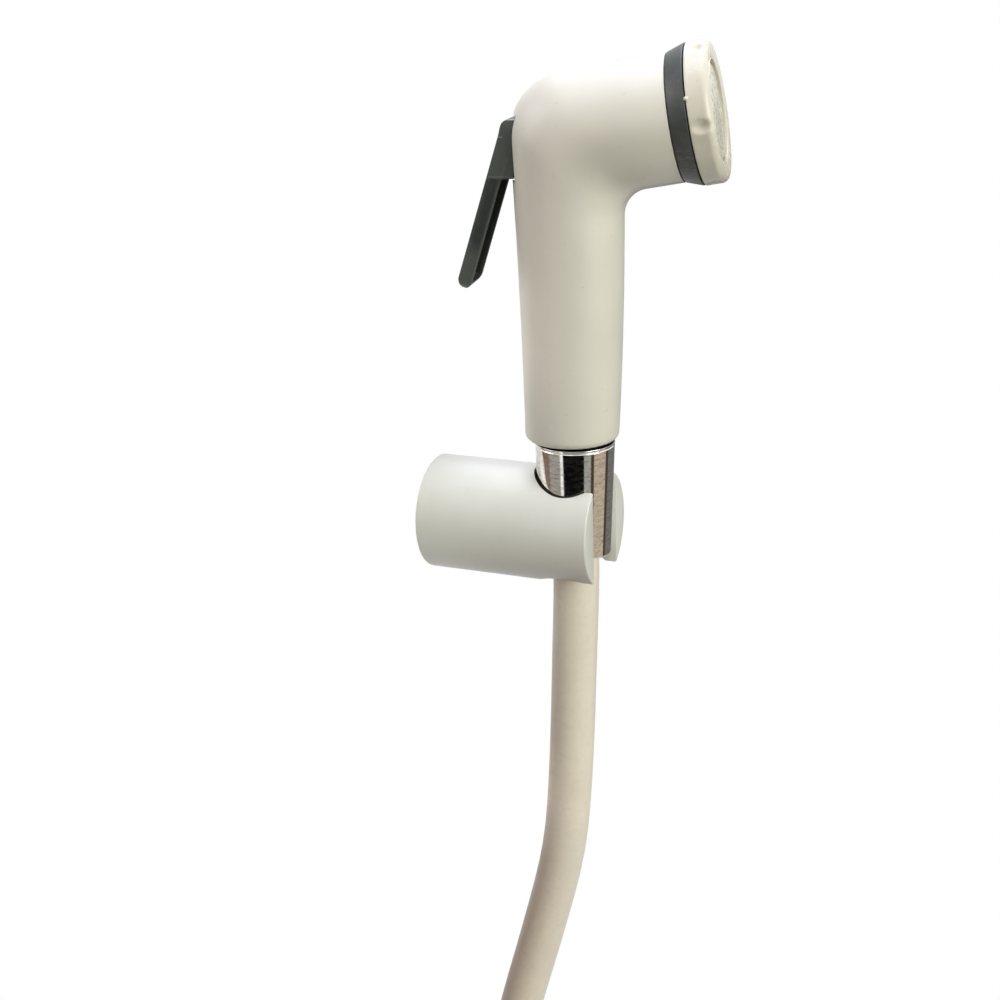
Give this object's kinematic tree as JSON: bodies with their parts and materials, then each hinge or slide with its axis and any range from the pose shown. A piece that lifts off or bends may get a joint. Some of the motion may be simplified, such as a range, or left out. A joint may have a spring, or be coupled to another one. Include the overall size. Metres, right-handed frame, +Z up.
{
  "type": "handheld bidet shower",
  "caption": "Handheld bidet shower with a rear trigger lever, resting by its hose nut in a round wall cradle, with a cream hose",
  "frame": {"origin": "centre of the cradle's wall plate, on the wall", "axes": "+X out of the wall along the cradle, +Z up, +Y sideways"},
  "size_m": [0.1162, 0.1733, 0.4862],
  "materials": {
    "body_plastic": "warm off-white moulded plastic, satin gloss",
    "cradle_plastic": "white moulded plastic, satin gloss",
    "cream_plastic": "cream moulded plastic, satin gloss",
    "grey_plastic": "dark grey moulded plastic, fine scuffs",
    "chrome_plating": "bright chrome plating",
    "hose_vinyl": "cream vinyl hose, smooth",
    "brass_turned": "turned brass",
    "stainless_steel": "stainless steel",
    "seal_rubber": "black seal rubber",
    "inner_plastic": "plain white inner moulding",
    "tie_plastic": "white tie band"
  },
  "bodies": {
    "root": {"handset_body": "body_plastic", "head_ring": "grey_plastic", "face_cap": "cream_plastic", "spray_plate": "cream_plastic", "hose_nut": "chrome_plating", "hose": "hose_vinyl", "holder_body": "cradle_plastic", "return_spring": "stainless_steel", "flow_insert": "inner_plastic", "face_gasket": "seal_rubber", "inlet_washer": "seal_rubber", "hose_insert": "brass_turned", "hose_ferrule": "stainless_steel", "wall_plate": "cradle_plastic", "wall_screw_upper": "stainless_steel", "wall_screw_lower": "stainless_steel", "hose_coil": "hose_vinyl", "hose_tail": "hose_vinyl", "coil_tie": "tie_plastic", "tail_ferrule": "stainless_steel", "tail_insert": "brass_turned", "supply_nut": "chrome_plating", "supply_washer": "seal_rubber"},
    "lever": {"trigger_lever": "grey_plastic"},
    "stem": {"valve_stem": "brass_turned", "stem_ring_rear": "seal_rubber", "stem_ring_front": "seal_rubber"}
  },
  "joints": [
    {"name": "lever_pivot", "type": "hinge", "parent": "root", "child": "lever", "pos_m": [0.03399, -0.00209, 0.1186], "axis": [0.1771, -0.9842, 0], "range_deg": [0, 8.5]},
    {"name": "stem_slide", "type": "slide", "parent": "root", "child": "stem", "axis": [0.971, 0.1747, 0.1633], "range_m": [0, 0.0015], "stiffness_N_per_m": 365, "springref_m": -0.0016, "deforming": ["return_spring"]}
  ],
  "couplings": [
    {"joint": "lever_pivot", "follows": "stem_slide", "rad_per_m": 98.66}
  ]
}
